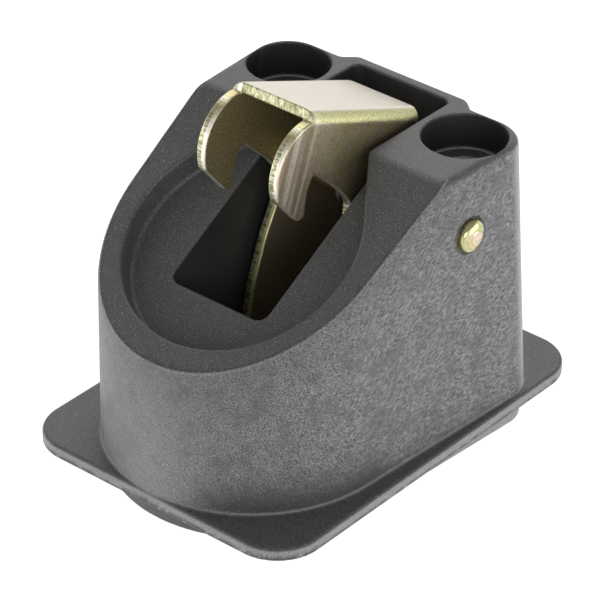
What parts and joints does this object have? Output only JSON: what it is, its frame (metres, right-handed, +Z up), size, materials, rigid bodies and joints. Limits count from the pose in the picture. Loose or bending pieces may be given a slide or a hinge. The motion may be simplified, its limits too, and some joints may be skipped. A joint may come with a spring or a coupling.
{
  "type": "trailer coupling dock",
  "caption": "Moulded D-shaped dock housing with a sloping recessed face, a flange, a base pad and a sprung steel claw lever on a cross pin.",
  "frame": {"origin": "bottom centre of the bounding box, on the plane of the base pad's underside and at the middle of the flange's footprint", "axes": "+Z up along the bolt holes, -Y towards the rounded front of the housing, +X to the right seen from the front and along the claw's pin"},
  "size_m": [0.0764, 0.105, 0.0886],
  "materials": {
    "glass_filled_nylon": "moulded, coarse fibrous glass-filled surface",
    "cover_nylon": "moulded, smooth matt",
    "screw_steel": "bright zinc plated",
    "pin_steel": "yellow passivated, polished dome",
    "acetal": "black, satin",
    "passivated_steel": "pressed sheet, zinc plated and yellow passivated",
    "spring_steel": "drawn spring wire, oiled"
  },
  "bodies": {
    "dock": {"housing": "glass_filled_nylon", "base_cover": "cover_nylon", "cover_screw_1": "screw_steel", "cover_screw_2": "screw_steel", "cover_screw_3": "screw_steel", "cover_screw_4": "screw_steel", "pivot_pin": "pin_steel", "pin_retainer": "pin_steel", "side_washer_left": "acetal", "side_washer_right": "acetal"},
    "claw": {"claw_lever": "passivated_steel", "torsion_spring": "spring_steel"}
  },
  "joints": [
    {"name": "claw_pivot", "type": "hinge", "parent": "dock", "child": "claw", "pos_m": [0, 0.0127, 0.0569], "axis": [-1, 0, 0], "range_deg": [0, 30], "stiffness_Nm_per_rad": 0.35, "springref_deg": -34.38}
  ]
}
